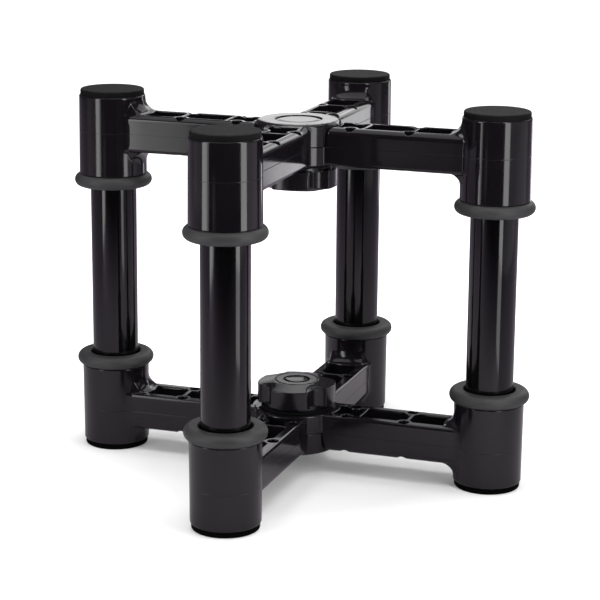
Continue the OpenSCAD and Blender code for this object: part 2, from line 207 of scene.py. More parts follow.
def skin(solid, low, high, step, thinning):
    """Meshes the surface of a solid given by its distance: points, their outward normals, faces.
    The points of the first rough mesh are drawn on to the surface four times."""
    x, y, z = (np.arange(a, b + step, step) for a, b in zip(low, high))
    distance = solid(x[:, None, None], y[None, :, None], z[None, None, :])
    band = 3 * step
    block = openvdb.FloatGrid(band)
    block.copyFromArray(np.clip(distance, -band, band).astype(np.float32))
    points, triangles, quads = block.convertToPolygons(isovalue=0.0, adaptivity=thinning)
    points = points.astype(float) * step + np.array(low)
    for _ in range(4):
        away, normals = lie_of(solid, points)
        points -= np.clip(away, -step, step)[:, None] * normals
    normals = lie_of(solid, points)[1]
    faces = triangles.tolist() + quads.tolist()
    a, b, c = (points[triangles[:, i]] for i in range(3))
    if np.sum(np.cross(b - a, c - a) * normals[triangles[:, 0]]) < 0:
        faces = [face[::-1] for face in faces]
    return points, normals, faces


def about_pivot(points, turn):
    """Turns points or directions about the pivot axis, by an angle in degrees."""
    c, s = math.cos(math.radians(turn)), math.sin(math.radians(turn))
    return points @ np.array([[c, s, 0], [-s, c, 0], [0, 0, 1]])


def set_piece(
    name, points, faces, body, node, slot, material, upper=False, spot=(0, 0, 0), normals=None
):
    """Makes a piece from points in millimetres, moved to its spot, joins it to its body and hides
    its CAD node. For the upper frame it is flipped. Without normals, it is sharp from 35 degrees."""
    points = points + spot
    if upper:
        points = points * [1, 1, -1] + [0, 0, STAND_H]
        faces = [face[::-1] for face in faces]
    mesh = bpy.data.meshes.new(name)
    mesh.from_pydata((points * MM).tolist(), [], faces)
    mesh.shade_smooth()
    if normals is None:
        mesh.set_sharp_from_angle(angle=math.radians(35))
    else:
        normals = normals * [1, 1, -1] if upper else normals
        mesh.normals_split_custom_set_from_vertices(normals.tolist())
    mesh.update()
    mesh.materials.append(material)
    piece = bpy.data.objects.new(name, mesh)
    bpy.context.scene.collection.objects.link(piece)
    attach(piece, body)
    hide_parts(node)
    return piece


def linear(code):
    """A colour written as sRGB hex, turned to the linear values that a shader takes."""
    values = [int(code[i:i + 2], 16) / 255 for i in (1, 3, 5)]
    return [v / 12.92 if v <= 0.04045 else ((v + 0.055) / 1.055) ** 2.4 for v in values] + [1.0]


def add(tree, kind, inputs=None, **settings):
    """Adds a node with its settings; an input is a value or the output that it is linked to."""
    made = tree.nodes.new(kind)
    for setting, value in settings.items():
        setattr(made, setting, value)
    for socket, value in (inputs or {}).items():
        if isinstance(value, bpy.types.NodeSocket):
            tree.links.new(value, made.inputs[socket])
        else:
            made.inputs[socket].default_value = value
    return made


def bare_tree(owner):
    """The node tree of a new material or world, emptied."""
    owner.use_nodes = True
    owner.node_tree.nodes.clear()
    return owner.node_tree


def new_material(name):
    """A material with its shader and its surface's own coordinates."""
    material = bpy.data.materials.new(name)
    tree = bare_tree(material)
    shader = add(tree, "ShaderNodeBsdfPrincipled")
    add(tree, "ShaderNodeOutputMaterial", {"Surface": shader.outputs[0]})
    place = add(tree, "ShaderNodeTexCoord").outputs["Object"]
    return material, tree, shader, place


def moulded_abs(name, dull=0.08, has_parting_line=False):
    """Gloss black ABS, injection moulded in a polished tool: sharp reflections with a faint
    orange peel, patches that are a little duller, and on the arms the tool's parting line."""
    material, tree, shader, place = new_material(name)
    shader.inputs["IOR"].default_value = 1.46
    patch_width, peel_width, peel_depth = 200 * MM / 11, 2.2 * MM, 0.02 * MM
    blotch = add(
        tree, "ShaderNodeTexNoise", {"Vector": place, "Scale": 1 / patch_width, "Detail": 3.0}
    )
    tone = add(
        tree, "ShaderNodeMix",
        {0: blotch.outputs[0], 6: linear("#0d0b0e"), 7: linear("#151216")},
        data_type="RGBA",
    )
    tree.links.new(tone.outputs[2], shader.inputs["Base Color"])
    gloss = add(
        tree, "ShaderNodeMapRange",
        {
            0: blotch.outputs[0], "From Min": 0.3, "From Max": 0.7,
            "To Min": dull, "To Max": dull + 0.05,
        },
    )
    tree.links.new(gloss.outputs[0], shader.inputs["Roughness"])
    peel = add(
        tree, "ShaderNodeTexNoise", {"Vector": place, "Scale": 1 / peel_width, "Detail": 2.0}
    )
    relief = add(
        tree, "ShaderNodeBump",
        {"Height": peel.outputs[0], "Strength": 0.25, "Distance": peel_depth},
    )
    if has_parting_line:
        line_half_w, line_height = 0.16 * MM, 0.04 * MM
        middle, to_line = STAND_H / 2 * MM, (STAND_H / 2 - ARM_MID) * MM
        height = add(tree, "ShaderNodeSeparateXYZ", {0: place}).outputs[2]
        from_middle = add(tree, "ShaderNodeMath", {0: height, 1: middle}, operation="SUBTRACT")
        either_half = add(
            tree, "ShaderNodeMath", {0: from_middle.outputs[0]}, operation="ABSOLUTE"
        )
        off_line = add(
            tree, "ShaderNodeMath", {0: either_half.outputs[0], 1: to_line}, operation="SUBTRACT"
        )
        beside = add(tree, "ShaderNodeMath", {0: off_line.outputs[0]}, operation="ABSOLUTE")
        ridge = add(
            tree, "ShaderNodeMapRange",
            {
                0: beside.outputs[0], "From Min": 0.0, "From Max": line_half_w,
                "To Min": 1.0, "To Max": 0.0,
            },
            interpolation_type="SMOOTHSTEP",
        )
        relief = add(
            tree, "ShaderNodeBump",
            {
                "Height": ridge.outputs[0], "Strength": 1.0, "Distance": line_height,
                "Normal": relief.outputs[0],
            },
        )
    tree.links.new(relief.outputs[0], shader.inputs["Normal"])
    return material


arm_plastic = moulded_abs("gloss black ABS, arms", has_parting_line=True)
# The box that is meshed, a little larger than an arm, and the step of its grid.
arm_low_corner, arm_high_corner, arm_step = (-129.6, -20.8, 1.4), (129.6, 20.8, 48.2), 0.4
for kind, is_outer, turn, body in (
    ("outer", True, OUTER_TURN, "outer_pair"),
    ("inner", False, INNER_TURN, "inner_pair"),
):
    arm_points, arm_normals, arm_faces = skin(
        lambda x, y, z: arm_solid(x, y, z, is_outer), arm_low_corner, arm_high_corner, arm_step,
        0.02,
    )
    arm_points, arm_normals = about_pivot(arm_points, turn), about_pivot(arm_normals, turn)
    for level, upper in LEVELS:
        set_piece(
            f"{level}_{kind}_arm_moulding", arm_points, arm_faces, body, f"{level}_{kind}_arm",
            "moulding", arm_plastic, upper, normals=arm_normals,
        )


# Hub caps. A round ABS cap, pressed into the middle of each hub disc, hides the head of the pivot
# bolt. Its face lies a little deeper than the disc and falls off softly to its edge.
def turned(profile, sides=128):
    """A closed solid turned about the Z axis from a half profile of (radius, height), lowest first.
    Long runs get an extra point near each end, so that their shading stays flat."""
    long_run, from_end, on_axis = 1.0, 0.15, 1e-6
    rows = []
    for (r0, z0), (r1, z1) in zip(profile, profile[1:]):
        rows.append((r0, z0))
        run = math.hypot(r1 - r0, z1 - z0)
        if run > long_run:
            near = from_end / run
            rows += [(r0 + (r1 - r0) * t, z0 + (z1 - z0) * t) for t in (near, 1 - near)]
    rows.append(profile[-1])
    points, rings, faces = [], [], []
    angles = np.linspace(0, 2 * math.pi, sides, endpoint=False)
    for r, z in rows:
        if r < on_axis:
            rings.append([len(points)] * sides)
            points.append((0, 0, z))
        else:
            rings.append(list(range(len(points), len(points) + sides)))
            points += [(r * math.cos(a), r * math.sin(a), z) for a in angles]
    is_tube = rows[0][0] > on_axis
    pairs = list(zip(rings, rings[1:])) + ([(rings[-1], rings[0])] if is_tube else [])
    for lower, upper in pairs:
        for i in range(sides):
            j = (i + 1) % sides
            corners = dict.fromkeys((lower[i], lower[j], upper[j], upper[i]))
            faces.append(list(corners))
    return np.array(points, float), faces


def arc(centre_r, centre_z, radius, start, end, steps=6):
    """Points of a rounding in a half profile; angles in degrees from straight outwards."""
    return [
        (
            centre_r + radius * math.cos(math.radians(start + (end - start) * i / steps)),
            centre_z + radius * math.sin(math.radians(start + (end - start) * i / steps)),
        )
        for i in range(steps + 1)
    ]


plain_plastic = moulded_abs("gloss black ABS, caps")
CAP_FACE_Z, CAP_FLAT_R, CAP_EDGE_R, CAP_FALL = 10.95, 9.0, 12.4, 0.45
cap_profile = [(0, CAP_FACE_Z)]
for r in np.linspace(CAP_FLAT_R, CAP_EDGE_R, 10):
    towards_edge = (r - CAP_FLAT_R) / (CAP_EDGE_R - CAP_FLAT_R)
    cap_profile.append((r, CAP_FACE_Z + CAP_FALL * towards_edge ** 2))
cap_profile += [(CAP_R, CAP_FACE_Z + 0.6), (CAP_R, CAP_BACK_Z), (0, CAP_BACK_Z)]
for level, upper in LEVELS:
    set_piece(
        f"{level}_hub_cap_face", *turned(cap_profile), "outer_pair", f"{level}_hub_cap", "cap",
        plain_plastic, upper,
    )


# Pivot bolts. An M8 hexagon bolt of zinc plated steel sits in a keyed pocket of each outer arm. Its
# shank is the pivot of the two arms, and the knob runs on the rolled thread at its end.
def zinc_steel():
    """Zinc plated steel: a bright metal, slightly clouded by the plating bath."""
    material, tree, shader, place = new_material("zinc plated steel")
    shader.inputs["Metallic"].default_value = 1.0
    cloud_width = 2.5 * MM
    cloud = add(
        tree, "ShaderNodeTexNoise", {"Vector": place, "Scale": 1 / cloud_width, "Detail": 4.0}
    )
    tone = add(
        tree, "ShaderNodeMix", {0: cloud.outputs[0], 6: linear("#a9acb0"), 7: linear("#c9cbcf")},
        data_type="RGBA",
    )
    gloss = add(
        tree, "ShaderNodeMapRange", {0: cloud.outputs[0], "To Min": 0.28, "To Max": 0.42}
    )
    tree.links.new(tone.outputs[2], shader.inputs["Base Color"])
    tree.links.new(gloss.outputs[0], shader.inputs["Roughness"])
    return material


def grown(name, build, material, **values):
    """Runs a Geometry Nodes tree with named inputs once, and returns its plain mesh."""
    tree = bpy.data.node_groups.new(name, "GeometryNodeTree")
    tree.interface.new_socket("Geometry", in_out="OUTPUT", socket_type="NodeSocketGeometry")
    for label, value in values.items():
        kind = "NodeSocketInt" if isinstance(value, int) else "NodeSocketFloat"
        tree.interface.new_socket(label, in_out="INPUT", socket_type=kind)
    entry = add(tree, "NodeGroupInput")
    shape = build(tree, entry.outputs)
    real = add(tree, "GeometryNodeRealizeInstances", {0: shape})
    painted = add(
        tree, "GeometryNodeSetMaterial", {"Geometry": real.outputs[0], "Material": material}
    )
    add(tree, "NodeGroupOutput", {0: painted.outputs[0]})
    holder = bpy.data.objects.new(name, bpy.data.meshes.new(name))
    bpy.context.scene.collection.objects.link(holder)
    modifier = holder.modifiers.new(name, "NODES")
    modifier.node_group = tree
    for item in tree.interface.items_tree:
        if item.in_out == "INPUT":
            modifier[item.identifier] = values[item.name]
    bpy.context.view_layer.update()
    ready = holder.evaluated_get(bpy.context.evaluated_depsgraph_get())
    mesh = bpy.data.meshes.new_from_object(ready)
    bpy.data.objects.remove(holder)
    return mesh


def helix_ridge(tree, given):
    """A ridge of diamond section, wound round the Z axis."""
    path = add(
        tree, "GeometryNodeCurveSpiral",
        {
            "Resolution": given["Steps"], "Rotations": given["Turns"],
            "Start Radius": given["Radius"], "End Radius": given["Radius"],
            "Height": given["Length"],
        },
    )
    upright = add(tree, "GeometryNodeSetCurveNormal", {"Curve": path.outputs[0]}, mode="Z_UP")
    section = add(
        tree, "GeometryNodeCurvePrimitiveCircle", {"Resolution": 4, "Radius": given["Ridge"]}
    )
    ridge = add(
        tree, "GeometryNodeCurveToMesh",
        {"Curve": upright.outputs[0], "Profile Curve": section.outputs[0], "Fill Caps": True},
    )
    return ridge.outputs[0]


def with_added(points, faces, mesh, lift):
    """Adds a grown mesh, raised to its place, to the points and faces of a piece."""
    extra = np.array([v.co for v in mesh.vertices]) / MM + [0, 0, lift]
    first = len(points)
    more = [[first + i for i in polygon.vertices] for polygon in mesh.polygons]
    return np.vstack([points, extra]), list(faces) + more


HEAD_Z, HEAD_HALF_W, HEAD_FACE_R, HEAD_CONE_RUN = 13.6, 6.5, 6.2, 1.73
BOLT_END_Z, BOLT_END_R = 43.2, 2.7
THREAD_PITCH, THREAD_TURNS, THREAD_START, THREAD_RUN_OUT = 1.25, 15.0, 23.6, 0.5
THREAD_CORE_R, THREAD_PATH_R, THREAD_RIDGE = 3.3, 3.34, 0.64
bolt_steel = zinc_steel()
thread = grown(
    "rolled thread", helix_ridge, bolt_steel, Steps=36, Turns=THREAD_TURNS,
    Radius=THREAD_PATH_R * MM, Length=THREAD_TURNS * THREAD_PITCH * MM, Ridge=THREAD_RIDGE * MM,
)
thread_z = THREAD_START + THREAD_RUN_OUT
shank_profile = [
    (0, HEAD_SEAT_Z - 0.5), (BOLT_R, HEAD_SEAT_Z - 0.5), (BOLT_R, THREAD_START),
    (THREAD_CORE_R, thread_z), (THREAD_CORE_R, BOLT_END_Z - 0.6), (BOLT_END_R, BOLT_END_Z),
    (0, BOLT_END_Z),
]


def head_solid(x, y, z):
    """The hexagon head, with the 30 degree cone that is turned on its corners."""
    x, y = np.abs(x), np.abs(y)
    cone = (np.hypot(x, y) - HEAD_FACE_R - (z - HEAD_Z) * HEAD_CONE_RUN) / 2
    ends = np.maximum(HEAD_Z - z, z - HEAD_SEAT_Z)
    return shared(np.maximum(hexagon(x, y, HEAD_HALF_W), cone), ends, 0.1)


shank_points, shank_faces = with_added(*turned(shank_profile, 48), thread, thread_z)
head_points, _, head_faces = skin(
    head_solid, (-8, -8, HEAD_Z - 1.2), (8, 8, HEAD_SEAT_Z + 1.2), 0.25, 0.05
)
bolt_points = np.vstack([shank_points, about_pivot(head_points, OUTER_TURN)])
bolt_faces = shank_faces + [[i + len(shank_points) for i in face] for face in head_faces]
for level, upper in LEVELS:
    set_piece(
        f"{level}_pivot_bolt_body", bolt_points, bolt_faces, "outer_pair", f"{level}_pivot_bolt",
        "steel", bolt_steel, upper,
    )


# Clamp washers. A plain punched nylon washer between each knob and the inner arm lets the knob be
# tightened without scuffing the moulding.
def matte_nylon():
    """Black nylon sheet: dull, with the fine even grain of the rolled sheet. The grain is drawn
    coarser than the real one, so that it shows."""
    material, tree, shader, place = new_material("black nylon sheet")
    grain_width, grain_depth = 0.4 * MM, 0.03 * MM
    grain = add(
        tree, "ShaderNodeTexNoise", {"Vector": place, "Scale": 1 / grain_width, "Detail": 2.0}
    )
    tone = add(
        tree, "ShaderNodeMix", {0: grain.outputs[0], 6: linear("#030303"), 7: linear("#080808")},
        data_type="RGBA",
    )
    relief = add(
        tree, "ShaderNodeBump",
        {"Height": grain.outputs[0], "Strength": 0.3, "Distance": grain_depth},
    )
    shader.inputs["Roughness"].default_value = 0.8
    shader.inputs["Specular IOR Level"].default_value = 0.2
    tree.links.new(tone.outputs[2], shader.inputs["Base Color"])
    tree.links.new(relief.outputs[0], shader.inputs["Normal"])
    return material


KNOB_Z, WASHER_R, WASHER_EDGE = 34.6, 19.5, 0.2
on_bolt_r = BOLT_R + SNUG_GAP
washer_profile = [
    (on_bolt_r, ARM_HIGH), (WASHER_R - WASHER_EDGE, ARM_HIGH), (WASHER_R, ARM_HIGH + WASHER_EDGE),
    (WASHER_R, KNOB_Z - WASHER_EDGE), (WASHER_R - WASHER_EDGE, KNOB_Z), (on_bolt_r, KNOB_Z),
]
washer_nylon = matte_nylon()
for level, upper in LEVELS:
    set_piece(
        f"{level}_clamp_washer_ring", *turned(washer_profile), f"{level}_clamp",
        f"{level}_clamp_washer", "washer", washer_nylon, upper,
    )


# Hand knobs. A four lobed ABS knob is moulded round a knurled brass insert. A domed button, snapped
# into the recess in its raised middle, closes the hole over the thread.
LOBE_R, LOBE_Z, LOBE_EDGE_Z, LOBE_SLOPE = 21.5, 36.2, 46.1, 0.215
GROOVE_AT, GROOVE_R, GROOVE_TURN, GROOVE_BEVEL = 24.6, 7.1, -83.0, 1.2
KNOB_TOP_Z, RAISED_R, FINE_LINE_R, SKIRT_R = 48.2, 11.7, 0.4, 18.5
RECESS_R, RECESS_Z, INSERT_R, INSERT_TOP_Z = 7.2, 46.6, 6.0, 44.1


def knob_solid(x, y, z):
    """Distance to the lower knob, in millimetres."""
    c, s = math.cos(math.radians(GROOVE_TURN)), math.sin(math.radians(GROOVE_TURN))
    gx, gy = np.abs(x * c + y * s), np.abs(y * c - x * s)
    gx, gy = np.maximum(gx, gy), np.minimum(gx, gy)
    radius = np.hypot(x, y)
    along_lobe = (gx + gy) / math.sqrt(2)
    fall = LOBE_SLOPE * np.maximum(0.5 * (along_lobe + radius) - RAISED_R, 0)
    roof = (z - KNOB_TOP_Z + fall) / math.hypot(1, LOBE_SLOPE)
    solid = shared(radius - LOBE_R, np.maximum(roof, LOBE_Z - z), 0.35)
    to_groove = np.hypot(gx - GROOVE_AT, gy) - GROOVE_R
    bevel = (to_groove - GROOVE_BEVEL * (z - LOBE_EDGE_Z)) / math.hypot(1, GROOVE_BEVEL)
    solid = shared(solid, -np.minimum(to_groove, bevel), 0.45)
    fine_line = np.hypot(radius - RAISED_R, z - KNOB_TOP_Z) - FINE_LINE_R
    solid = shared(solid, -fine_line, 0.15)
    skirt = shared(radius - SKIRT_R, np.maximum(KNOB_Z - z, z - LOBE_Z - 1), 0.2)
    solid = np.minimum(solid, skirt)
    recess = np.maximum(radius - RECESS_R, RECESS_Z - z)
    solid = shared(solid, -recess, 0.25)
    bore = np.maximum(radius - INSERT_R - SNUG_GAP, z - INSERT_TOP_Z)
    return np.maximum(solid, -bore)


def machined_brass():
    """Brass turned from bar: warm metal with fine rings from the lathe tool."""
    material, tree, shader, place = new_material("machined brass")
    shader.inputs["Metallic"].default_value = 1.0
    shader.inputs["Base Color"].default_value = linear("#c9a35a")
    # A wave texture of scale 1 has a band every tenth of pi.
    ring_spacing = 0.4488 * MM
    rings = add(
        tree, "ShaderNodeTexWave",
        {"Vector": place, "Scale": math.pi / 10 / ring_spacing, "Distortion": 0.4},
        bands_direction="Z",
    )
    gloss = add(tree, "ShaderNodeMapRange", {0: rings.outputs[1], "To Min": 0.2, "To Max": 0.35})
    tree.links.new(gloss.outputs[0], shader.inputs["Roughness"])
    return material


def knurl_ribs(tree, given):
    """Upright ribs, spaced evenly round the Z axis."""
    circle = add(
        tree, "GeometryNodeCurvePrimitiveCircle",
        {"Resolution": given["Ribs"], "Radius": given["Radius"]},
    )
    outwards = add(tree, "GeometryNodeInputNormal").outputs[0]
    facing = add(tree, "FunctionNodeAlignRotationToVector", {"Vector": outwards}, axis="X")
    rib = add(
        tree, "GeometryNodeMeshCylinder",
        {"Vertices": 4, "Radius": given["Rib"], "Depth": given["Length"]},
    )
    spread = add(
        tree, "GeometryNodeInstanceOnPoints",
        {"Points": circle.outputs[0], "Instance": rib.outputs[0], "Rotation": facing.outputs[0]},
    )
    return spread.outputs[0]


knob_plastic = moulded_abs("satin black ABS, knobs", dull=0.2)
insert_brass = machined_brass()
KNURL_RIBS, KNURL_R, KNURL_RIB, KNURL_H, KNURLS_AT = 40, 5.72, 0.28, 3.4, (2.05, 7.4)
knurl = grown(
    "knurl", knurl_ribs, insert_brass, Ribs=KNURL_RIBS, Radius=KNURL_R * MM, Rib=KNURL_RIB * MM,
    Length=KNURL_H * MM,
)
# The waist between the two bands of knurl locks the insert in the plastic.
CORE_R, WAIST_R, CHAMFER, WAIST_LOW, WAIST_HIGH = 5.8, 5.3, 0.3, KNOB_Z + 4.1, KNOB_Z + 5.4
insert_profile = [
    (on_bolt_r, KNOB_Z + CHAMFER), (on_bolt_r + CHAMFER, KNOB_Z), (CORE_R, KNOB_Z),
    (CORE_R, WAIST_LOW), (WAIST_R, WAIST_LOW + CHAMFER), (WAIST_R, WAIST_HIGH - CHAMFER),
    (CORE_R, WAIST_HIGH), (CORE_R, INSERT_TOP_Z), (on_bolt_r + CHAMFER, INSERT_TOP_Z),
    (on_bolt_r, INSERT_TOP_Z - CHAMFER),
]
insert_points, insert_faces = turned(insert_profile, 64)
for lift in KNURLS_AT:
    insert_points, insert_faces = with_added(insert_points, insert_faces, knurl, KNOB_Z + lift)
BUTTON_R, BUTTON_DOME, BUTTON_EDGE, BUTTON_RIM = 6.3, 0.4, 0.4, 0.75
dome_r = (BUTTON_R ** 2 + BUTTON_DOME ** 2) / (2 * BUTTON_DOME)
dome_z = KNOB_TOP_Z + BUTTON_DOME
rim_z = dome_z - BUTTON_RIM
button_profile = [(0, RECESS_Z), (BUTTON_R, RECESS_Z), (BUTTON_R, rim_z)]
button_profile += arc(BUTTON_R - BUTTON_EDGE, rim_z, BUTTON_EDGE, 15, 60, 3)
button_profile += [(r, dome_z - r * r / (2 * dome_r)) for r in (5.2, 4, 2.5, 1)] + [(0, dome_z)]
knob_box_half_w, knob_box_low, knob_box_high = 22.8, KNOB_Z - 1.2, KNOB_TOP_Z + 1.2
knob_points, knob_normals, knob_faces = skin(
    knob_solid, (-knob_box_half_w, -knob_box_half_w, knob_box_low),
    (knob_box_half_w, knob_box_half_w, knob_box_high), 0.3, 0.03,
)
for level, upper in LEVELS:
    body = f"{level}_knob_set"
    set_piece(
        f"{level}_knob_moulding", knob_points, knob_faces, body, f"{level}_knob", "knob",
        knob_plastic, upper, normals=knob_normals,
    )
    set_piece(
        f"{level}_knob_insert_sleeve", insert_points, insert_faces, body, f"{level}_knob_insert",
        "brass", insert_brass, upper,
    )
    set_piece(
        f"{level}_knob_button_dome", *turned(button_profile), body, f"{level}_knob_button",
        "button", plain_plastic, upper,
    )


# Isolators. Each end of a post stands in a moulded rubber cup: a sleeve that fills the bore of the
# arm's cup, and a soft round ring outside it that keeps the post off the rim.
def moulded_rubber():
    """Black nitrile rubber, compression moulded: dull, with a grey bloom and a fine matt grain
    that is drawn coarser than the real one, so that it shows."""
    material, tree, shader, place = new_material("moulded nitrile rubber")
    bloom_width, grain_width, grain_depth = 100 * MM / 9, MM / 3, 0.04 * MM
    bloom = add(
        tree, "ShaderNodeTexNoise", {"Vector": place, "Scale": 1 / bloom_width, "Detail": 5.0}
    )
    tone = add(
        tree, "ShaderNodeMix", {0: bloom.outputs[0], 6: linear("#262627"), 7: linear("#363637")},
        data_type="RGBA",
    )
    grain = add(
        tree, "ShaderNodeTexNoise", {"Vector": place, "Scale": 1 / grain_width, "Detail": 2.0}
    )
    relief = add(
        tree, "ShaderNodeBump",
        {"Height": grain.outputs[0], "Strength": 0.4, "Distance": grain_depth},
    )
    shader.inputs["Roughness"].default_value = 0.55
    tree.links.new(tone.outputs[2], shader.inputs["Base Color"])
    tree.links.new(relief.outputs[0], shader.inputs["Normal"])
    return material


def at_post(turn):
    """The middle of a post, at the angle of the arm that carries it."""
    return [
        ARM_REACH * math.cos(math.radians(turn)), ARM_REACH * math.sin(math.radians(turn)), 0
    ]


POSTS = {
    "front_left": (at_post(OUTER_TURN), "outer_pair"),
    "back_right": (at_post(OUTER_TURN + 180), "outer_pair"),
    "front_right": (at_post(INNER_TURN), "inner_pair"),
    "back_left": (at_post(INNER_TURN + 180), "inner_pair"),
}
TUBE_R, TUBE_Z = 12.7, 9.8
SLEEVE_R, SLEEVE_EDGE = 16.2, 0.5
RING_Z, RING_H, RING_R = 47.3, 6.9, 21.4
MOUTH_R, MOUTH_EDGE, MOUTH_STEP = 13.9, 0.8, 1.9
ring_round, ring_top_z, step_z = RING_H / 2, RING_Z + RING_H, RING_Z + MOUTH_STEP
isolator_profile = [
    (0, CUP_FLOOR_Z), (SLEEVE_R - SLEEVE_EDGE, CUP_FLOOR_Z),
    *arc(SLEEVE_R - SLEEVE_EDGE, CUP_FLOOR_Z + SLEEVE_EDGE, SLEEVE_EDGE, -75, 0, 4),
    (SLEEVE_R, RING_Z - 0.3), (SLEEVE_R + 0.3, RING_Z),
    *arc(RING_R - ring_round, RING_Z + ring_round, ring_round, -90, 90, 14),
    *arc(MOUTH_R + MOUTH_EDGE, ring_top_z - MOUTH_EDGE, MOUTH_EDGE, 90, 180, 4),
    (MOUTH_R, step_z), (TUBE_R + SNUG_GAP, step_z), (TUBE_R + SNUG_GAP, TUBE_Z), (0, TUBE_Z),
]
isolator_rubber = moulded_rubber()
for level, upper in LEVELS:
    for post, (spot, body) in POSTS.items():
        set_piece(
            f"{level}_{post}_isolator_rubber", *turned(isolator_profile), body,
            f"{level}_{post}_isolator", "isolator", isolator_rubber, upper, spot,
        )


# Posts. Four drawn tubes, cut square, deburred and painted black, stand on the rubber floors of
# their isolators and carry the upper frame.
def black_paint():
    """Black enamel sprayed on drawn tube: glossy, with soft ripples along the tube."""
    material, tree, shader, place = new_material("sprayed black enamel")
    ripple_width, ripple_length, ripple_depth = 20 * MM / 7, 25 * MM, 0.02 * MM
    per_metre = (1 / ripple_width, 1 / ripple_width, 1 / ripple_length)
    ripple_place = add(tree, "ShaderNodeMapping", {"Vector": place, "Scale": per_metre})
    ripple = add(
        tree, "ShaderNodeTexNoise",
        {"Vector": ripple_place.outputs[0], "Scale": 1.0, "Detail": 2.0},
    )
    tone = add(
        tree, "ShaderNodeMix", {0: ripple.outputs[0], 6: linear("#040404"), 7: linear("#080709")},
        data_type="RGBA",
    )
    relief = add(
        tree, "ShaderNodeBump",
        {"Height": ripple.outputs[0], "Strength": 0.2, "Distance": ripple_depth},
    )
    shader.inputs["Roughness"].default_value = 0.1
    shader.inputs["IOR"].default_value = 1.46
    tree.links.new(tone.outputs[2], shader.inputs["Base Color"])
    tree.links.new(relief.outputs[0], shader.inputs["Normal"])
    return material


TUBE_WALL, OUT_CHAMFER, IN_CHAMFER = 2.6, 0.4, 0.3
tube_in_r, tube_top_z = TUBE_R - TUBE_WALL, STAND_H - TUBE_Z
tube_profile = [
    (tube_in_r + IN_CHAMFER, TUBE_Z), (TUBE_R - OUT_CHAMFER, TUBE_Z),
    (TUBE_R, TUBE_Z + OUT_CHAMFER), (TUBE_R, tube_top_z - OUT_CHAMFER),
    (TUBE_R - OUT_CHAMFER, tube_top_z), (tube_in_r + IN_CHAMFER, tube_top_z),
    (tube_in_r, tube_top_z - IN_CHAMFER), (tube_in_r, TUBE_Z + IN_CHAMFER),
]
tube_paint = black_paint()
for post, (spot, body) in POSTS.items():
    set_piece(
        f"{post}_tube_painted", *turned(tube_profile), body, f"{post}_tube", "tube", tube_paint,
        spot=spot,
    )


# Feet and pads. Round pads, stamped from black foam rubber sheet, are glued into the shallow seats
# in the cups' ends. Stamping leaves the free edge slightly rounded, and the side bulges a little.
def foam_rubber(name, dark, light, cut, sheen):
    """Closed cell foam rubber sheet: dull and soft black with small cut cells, drawn wide enough
    to show. The side is painted darker than the upper face in the colour cut, as painted shade."""
    material, tree, shader, place = new_material(name)
    grain_width, pore_width, pore_depth = 10 * MM / 7, 0.7 * MM, 0.15 * MM
    side_shade_ends, face_starts = (STAND_H - 0.6) * MM, (STAND_H - 0.2) * MM
    grain = add(
        tree, "ShaderNodeTexNoise", {"Vector": place, "Scale": 1 / grain_width, "Detail": 3.0}
    )
    contrast = add(
        tree, "ShaderNodeMapRange", {0: grain.outputs[0], "From Min": 0.3, "From Max": 0.7}
    )
    tone = add(
        tree, "ShaderNodeMix", {0: contrast.outputs[0], 6: linear(dark), 7: linear(light)},
        data_type="RGBA",
    )
    height = add(tree, "ShaderNodeSeparateXYZ", {0: place}).outputs[2]
    unshaded_top = add(
        tree, "ShaderNodeMapRange", {0: height, "From Min": side_shade_ends, "From Max": face_starts}
    )
    # Painted shade: below the upper face the side takes the darker colour cut.
    colour = add(
        tree, "ShaderNodeMix", {0: unshaded_top.outputs[0], 6: linear(cut), 7: tone.outputs[2]},
        data_type="RGBA",
    )
    pores = add(tree, "ShaderNodeTexVoronoi", {"Vector": place, "Scale": 1 / pore_width})
    relief = add(
        tree, "ShaderNodeBump",
        {"Height": pores.outputs["Distance"], "Strength": 0.5, "Distance": pore_depth},
    )
    shader.inputs["Roughness"].default_value = 0.8
    shader.inputs["Specular IOR Level"].default_value = sheen
    tree.links.new(colour.outputs[2], shader.inputs["Base Color"])
    tree.links.new(relief.outputs[0], shader.inputs["Normal"])
    return material


PAD_R, PAD_H, PAD_EDGE, PAD_BULGE = 17.6, 3.5, 1.0, 0.06
pad_profile = [
    (0, 0), (8, 0), (PAD_R - 1.3, 0.02),
    *arc(PAD_R - PAD_EDGE, PAD_EDGE, PAD_EDGE, -75, -15, 4),
    (PAD_R, 1.4), (PAD_R, 2.2), (PAD_R - PAD_BULGE, 3.0), (PAD_R - PAD_BULGE, PAD_H), (0, PAD_H),
]
# The last colour of each is the painted shade of the side. The feet lie below the pads' upper face,
# so they take it all over.
pad_foam = foam_rubber("black foam rubber sheet, pads", "#040404", "#1d1d1d", "#020202", 0.25)
foot_foam = foam_rubber("black foam rubber sheet, feet", "#010101", "#060606", "#030303", 0.05)
for place, upper, foam in (("foot", False, foot_foam), ("pad", True, pad_foam)):
    for post, (spot, body) in POSTS.items():
        pad = set_piece(
            f"{post}_{place}_foam", *turned(pad_profile), body, f"{post}_{place}", place, foam,
            upper, spot,
        )


# Studio. A pale floor that runs on to white, an upright softbox on each side in front, a row of
# softboxes and dim cards behind that the flat tops mirror, one softbox overhead, and dark screens
# round the set. The overhead one is kept out of what is glossy, and the screens only show there.
VIEW_TURN = math.radians(-25.977)


def in_row(x, y, z):
    """A point given from the camera's side, in millimetres: x to its right and y away from it."""
    c, s = math.cos(VIEW_TURN), math.sin(VIEW_TURN)
    return Vector((x * c - y * s, x * s + y * c, z)) * MM


def area_lamp(name, width, height, radiance, place):
    """A rectangular softbox that the camera doesn't see. A radiance of 1 is white."""
    lamp = bpy.data.lights.new(name, "AREA")
    lamp.shape = "RECTANGLE"
    lamp.size, lamp.size_y = width, height
    lamp.energy = radiance * math.pi * width * height
    holder = bpy.data.objects.new(name, lamp)
    holder.matrix_world = place
    holder.visible_camera = False
    bpy.context.scene.collection.objects.link(holder)
    return holder


